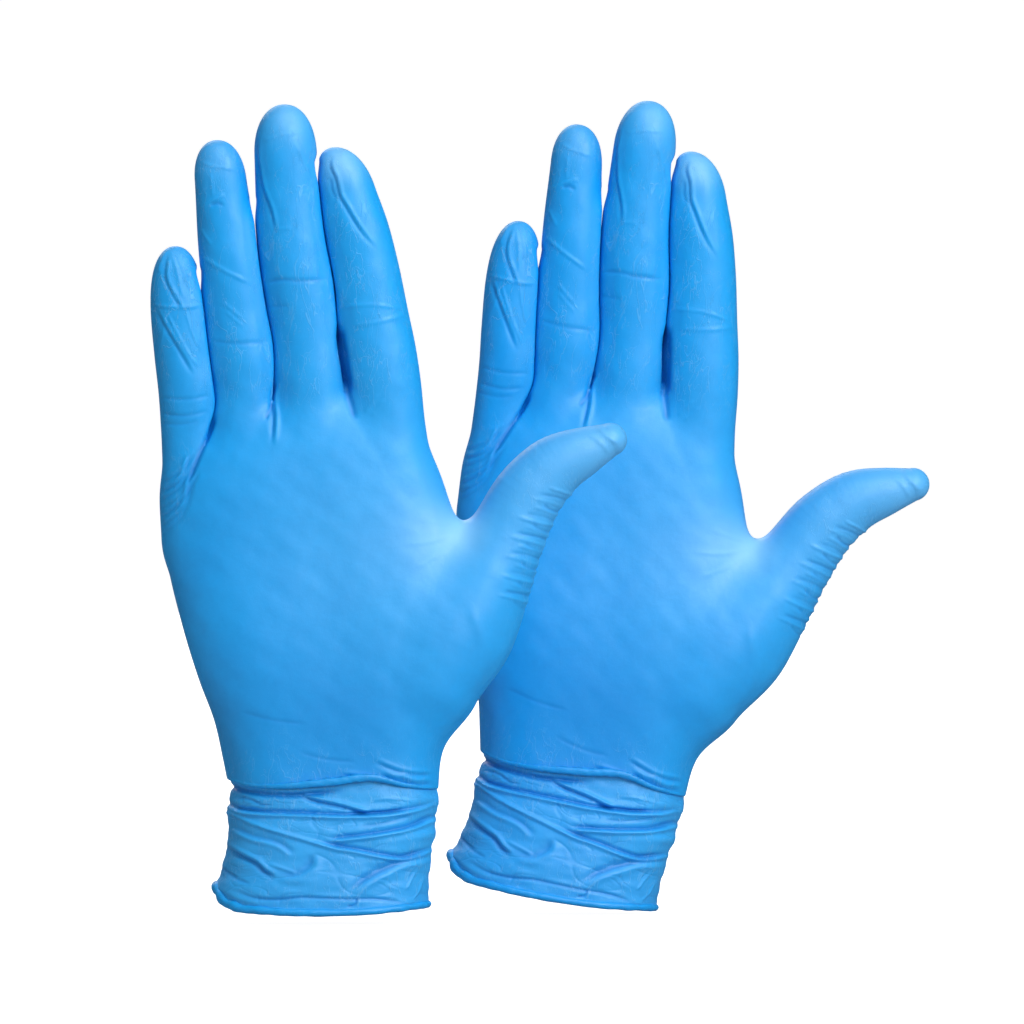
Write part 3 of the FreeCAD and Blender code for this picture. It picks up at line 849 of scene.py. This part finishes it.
class Nodes:
    """A small helper that adds shader nodes and links them."""

    def __init__(self, tree):
        self.tree = tree

    def add(self, kind, inputs=(), **settings):
        node = self.tree.nodes.new(kind)
        for name, value in settings.items():
            setattr(node, name, value)
        for name, value in dict(inputs).items():
            if isinstance(value, bpy.types.NodeSocket):
                self.tree.links.new(value, node.inputs[name])
            else:
                node.inputs[name].default_value = value
        return node

    def mark(self, name):
        return self.add("ShaderNodeAttribute", attribute_name=name)

    def noise(self, at, scale, detail=3.0):
        inputs = {"Vector": at, "Scale": scale, "Detail": detail, "Roughness": 0.55}
        return self.add("ShaderNodeTexNoise", inputs).outputs["Fac"]

    def hairlines(self, at, scale):
        """Thin winding lines: 1 on a line and 0 beside it."""
        inputs = {"Vector": at, "Scale": scale, "Detail": 3.0, "Distortion": 0.6}
        height = self.add("ShaderNodeTexNoise", inputs).outputs["Fac"]
        off = self.math(self.math(height, 0.5, "SUBTRACT"), 0.0, "ABSOLUTE")
        patch = self.remap(self.noise(at, scale * 0.6, 1.0), 0.42, 0.55, 0, 1)
        return self.math(self.remap(off, 0, 0.012, 1, 0), patch, "MULTIPLY")

    def remap(self, value, low, high, to_low, to_high):
        node = self.add("ShaderNodeMapRange", {"Value": value, "From Min": low, "From Max": high,
                                               "To Min": to_low, "To Max": to_high})
        return node.outputs["Result"]

    def mix(self, share, a, b):
        """A colour between a and b. Each of the three may be a socket or a plain value."""
        node = self.add("ShaderNodeMix", data_type="RGBA")
        for socket, value in ((node.inputs[0], share), (node.inputs[6], a), (node.inputs[7], b)):
            if isinstance(value, bpy.types.NodeSocket):
                self.tree.links.new(value, socket)
            else:
                socket.default_value = (*value, 1) if isinstance(value, tuple) and len(value) == 3 else value
        return node.outputs[2]

    def math(self, a, b, operation="ADD"):
        return self.add("ShaderNodeMath", {0: a, 1: b}, operation=operation).outputs[0]


def nitrile(name, deepen):
    """Satin nitrile film: paler where it is stretched, with painted highlights on tips and hairlines and
    painted shade in creases and low on the palm, finely grained.
    """
    material = bpy.data.materials.new(name)
    material.use_nodes = True
    nodes = Nodes(material.node_tree)
    shader = material.node_tree.nodes["Principled BSDF"]
    rest = nodes.mark("rest").outputs["Vector"]
    slack = nodes.mark("slack").outputs["Fac"]
    cloud = nodes.noise(rest, 0.055, 4)
    mottle = nodes.noise(rest, 0.55, 4)
    grain = nodes.noise(rest, 3.2, 3)
    along = nodes.add("ShaderNodeVectorMath", {0: rest, 1: HAIR_STRETCH}, operation="MULTIPLY").outputs[0]
    hair = nodes.hairlines(along, 0.13)
    fine_hair = nodes.hairlines(along, 0.34)
    hair = nodes.math(nodes.math(hair, fine_hair, "MAXIMUM"), slack, "MULTIPLY")
    colour = nodes.mix(nodes.remap(cloud, *NOISE_MIDDLE, 0.0, 0.2), FILM_BLUE, FILM_DEEP_AND_SHADE)
    colour = nodes.mix(nodes.remap(mottle, *NOISE_MIDDLE, 0.0, 0.12), colour, FILM_DEEP_AND_SHADE)
    # paler where stretched, with painted highlights on the palm, the thumb and the fingertips
    colour = nodes.mix(nodes.remap(nodes.mark("stretch").outputs["Fac"], 0, 1, 0, 0.85), colour, FILM_PALE_AND_HIGHLIGHT)
    # painted shade in creases and folds, on the lower palm and at the wrist
    shade_painted = nodes.remap(nodes.mark("crease").outputs["Fac"], 0, 0.6, deepen, 0.9)
    colour = nodes.mix(shade_painted, colour, FILM_DEEP_AND_SHADE)
    # painted highlight along the hairlines
    colour = nodes.mix(nodes.math(hair, HAIR_HIGHLIGHT, "MULTIPLY"), colour, FILM_PALE_AND_HIGHLIGHT)
    material.node_tree.links.new(colour, shader.inputs["Base Color"])
    rough = nodes.remap(mottle, *NOISE_MIDDLE, *FILM_ROUGHNESS)
    material.node_tree.links.new(rough, shader.inputs["Roughness"])
    raised = {"grain": grain, "mottle": mottle, "hair": hair}
    parts = [nodes.math(raised[name], amount, "MULTIPLY") for name, amount in BUMP_HEIGHTS.items()]
    height = nodes.math(nodes.math(parts[0], parts[1]), parts[2])
    settings = {"Height": height, "Strength": BUMP_STRENGTH, "Distance": BUMP_DISTANCE}
    bump = nodes.add("ShaderNodeBump", settings)
    material.node_tree.links.new(bump.outputs["Normal"], shader.inputs["Normal"])
    shader.inputs["Specular IOR Level"].default_value = FILM_SPECULAR
    return material


# ---------------------------------------------------------------- build
surface, faces = film_surface()
surface, normals, marks = wrinkle_film(surface, faces)
parts = divide(surface, faces)
cuff = cuff_surface()
bead = bead_surface()
film = nitrile("nitrile_film", 0.0)
rolled = nitrile("nitrile_rolled", 0.12)

for side in SIDES:
    place = PLACES[side]
    body = f"{side}_palm"
    for (digit, joint), part in parts.items():
        own = used_only(surface, part, normals, *marks.values())
        own_marks = dict(zip(marks, own[3:]))
        name = f"{side}_{digit}_{joint}_film" if joint else f"{side}_palm_film"
        piece = add_piece(name, own[0], own[1], own[2], own_marks, film, place)
        if digit == "palm":
            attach(piece, body)
            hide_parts(f"{side}_palm", f"{side}_hand_back", f"{side}_root_folds")
            continue
        hinge = JOINTS[f"{side}_{digit}_{joint}"]
        child = hinge["child"]
        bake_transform(piece)
        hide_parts(*((child,) if joint == "root" else (child, f"{child}_fold")))
    for name, data, slot, material in (("cuff", cuff, "film", film), ("bead", bead, "bead", rolled)):
        piece = add_piece(f"{side}_{name}_film", *data, material, place)
        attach(piece, body)
        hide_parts(f"{side}_{name}")

# ---------------------------------------------------------------- stage
FLOOR_SIZE = 60
FLOOR_BELOW = 0.0006
FLOOR_GLOW = 0.97       # seen by the camera only, so that the backdrop is white
SKY_LIGHT = 0.08
floor_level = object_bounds()[0].z - FLOOR_BELOW
corners = [(x * FLOOR_SIZE, y * FLOOR_SIZE, floor_level) for x, y in ((-1, -1), (1, -1), (1, 1), (-1, 1))]
floor_mesh = bpy.data.meshes.new("floor")
floor_mesh.from_pydata(corners, [], [(0, 1, 2, 3)])
floor = bpy.data.objects.new("floor", floor_mesh)
bpy.context.scene.collection.objects.link(floor)
floor_paint = bpy.data.materials.new("pale_floor")
floor_paint.use_nodes = True
floor_shader = floor_paint.node_tree.nodes["Principled BSDF"]
floor_shader.inputs["Base Color"].default_value = (0.5, 0.5, 0.5, 1)
floor_shader.inputs["Roughness"].default_value = 0.9
floor_shader.inputs["Specular IOR Level"].default_value = 0.1
floor_shader.inputs["Emission Color"].default_value = (1, 1, 1, 1)
floor_nodes = Nodes(floor_paint.node_tree)
floor_seen = floor_nodes.add("ShaderNodeLightPath").outputs["Is Camera Ray"]
floor_glow = floor_nodes.remap(floor_seen, 0, 1, 0, FLOOR_GLOW)
floor_paint.node_tree.links.new(floor_glow, floor_shader.inputs["Emission Strength"])
floor_mesh.materials.append(floor_paint)
floor.visible_glossy = False

world = bpy.data.worlds.new("studio")
bpy.context.scene.world = world
world.use_nodes = True
sky = Nodes(world.node_tree)
seen = sky.add("ShaderNodeLightPath").outputs["Is Camera Ray"]
strength = sky.remap(seen, 0, 1, SKY_LIGHT, 1.0)
world.node_tree.links.new(strength, world.node_tree.nodes["Background"].inputs["Strength"])
world.node_tree.nodes["Background"].inputs["Color"].default_value = (1, 1, 1, 1)
bpy.context.scene.view_settings.view_transform = "Standard"

AIM = Vector((0.06, 0.04, 0.12))
# Each light: direction from the gloves, distance, size (m), power (W), makes highlights
LIGHTS = {
    "key": ((0.65, -0.9, 0.55), 2.0, 1.0, 26, True),
    "top": ((0.2, -0.6, 1.0), 2.0, 1.2, 12, True),
    "rim": ((-0.3, 0.9, 0.7), 2.4, 1.6, 18, True),
    "soft_left": ((-1, -0.3, 0.15), 3.5, 3.0, 15, False),
    "soft_right": ((1, -0.3, 0.15), 3.5, 3.0, 19, False),
    "soft_front": ((0, -1, 0.25), 3.5, 3.0, 24, False),
    "soft_back": ((0, 1, 0.3), 3.5, 3.0, 42, False),
    "soft_top": ((0, 0, 1), 3.5, 3.0, 20, False),
}
for name, (way, away, size, power, glossy) in LIGHTS.items():
    data = bpy.data.lights.new(name, "AREA")
    data.size = size
    data.energy = power
    light = bpy.data.objects.new(name, data)
    bpy.context.scene.collection.objects.link(light)
    light.visible_glossy = glossy
    light.visible_camera = False
    way = Vector(way).normalized()
    light.location = AIM + way * away
    light.rotation_euler = (-way).to_track_quat("-Z", "Y").to_euler()

LENS = 1500
SENSOR = 36
VIEW_WIDTH = 0.28672
VIEW_CENTRE = Vector((0.0529, 0, 0.1134))
VIEW_TILT = math.radians(1.2)
camera_data = bpy.data.cameras.new("camera")
camera = bpy.data.objects.new("camera", camera_data)
bpy.context.scene.collection.objects.link(camera)
bpy.context.scene.camera = camera
camera_data.lens = LENS
camera_data.sensor_width = SENSOR
camera_data.clip_end = 200
back = Vector((0, -math.cos(VIEW_TILT), math.sin(VIEW_TILT)))
camera.location = VIEW_CENTRE + back * (VIEW_WIDTH * LENS / SENSOR)
camera.rotation_euler = (-back).to_track_quat("-Z", "Y").to_euler()
